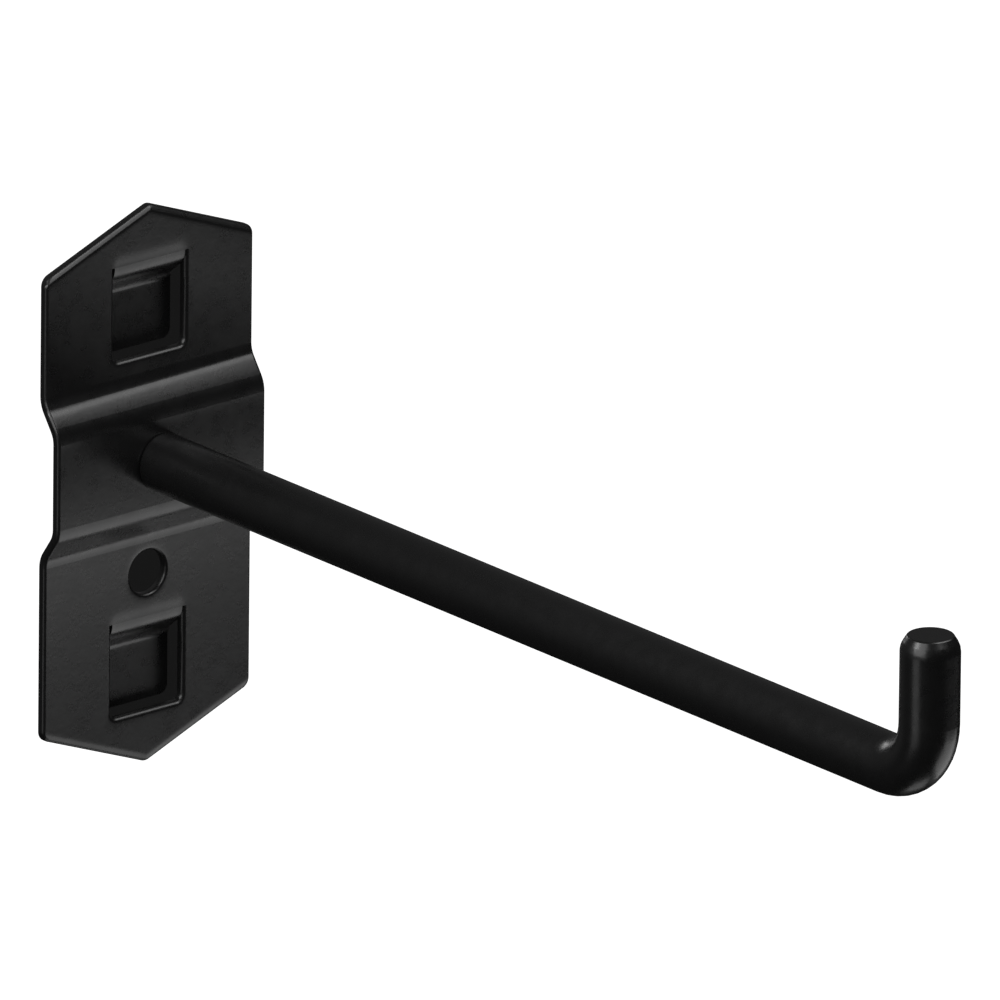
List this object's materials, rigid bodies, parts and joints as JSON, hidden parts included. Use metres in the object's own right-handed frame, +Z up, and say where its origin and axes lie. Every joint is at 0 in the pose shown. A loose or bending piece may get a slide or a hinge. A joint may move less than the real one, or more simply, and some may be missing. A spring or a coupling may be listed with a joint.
{
  "type": "single hook for perforated tool panel",
  "caption": "Black coated steel hook for a perforated panel: a pressed plate with tongues that grip square holes, and a long round bar that turns up at its end.",
  "frame": {"origin": "on the plane of the plate's flat back, midway up the plate, between its two tongues", "axes": "-Y forward, out of the panel and along the bar; +Y back into the panel; +Z up; +X to the right, seen from the front"},
  "size_m": [0.027, 0.1268, 0.0594],
  "materials": {
    "plate_coating": "fine satin black powder coat on pressed sheet steel",
    "rod_coating": "fine satin black powder coat on round steel bar"
  },
  "bodies": {
    "root": {"base_plate": "plate_coating", "hook_rod": "rod_coating"}
  },
  "joints": []
}
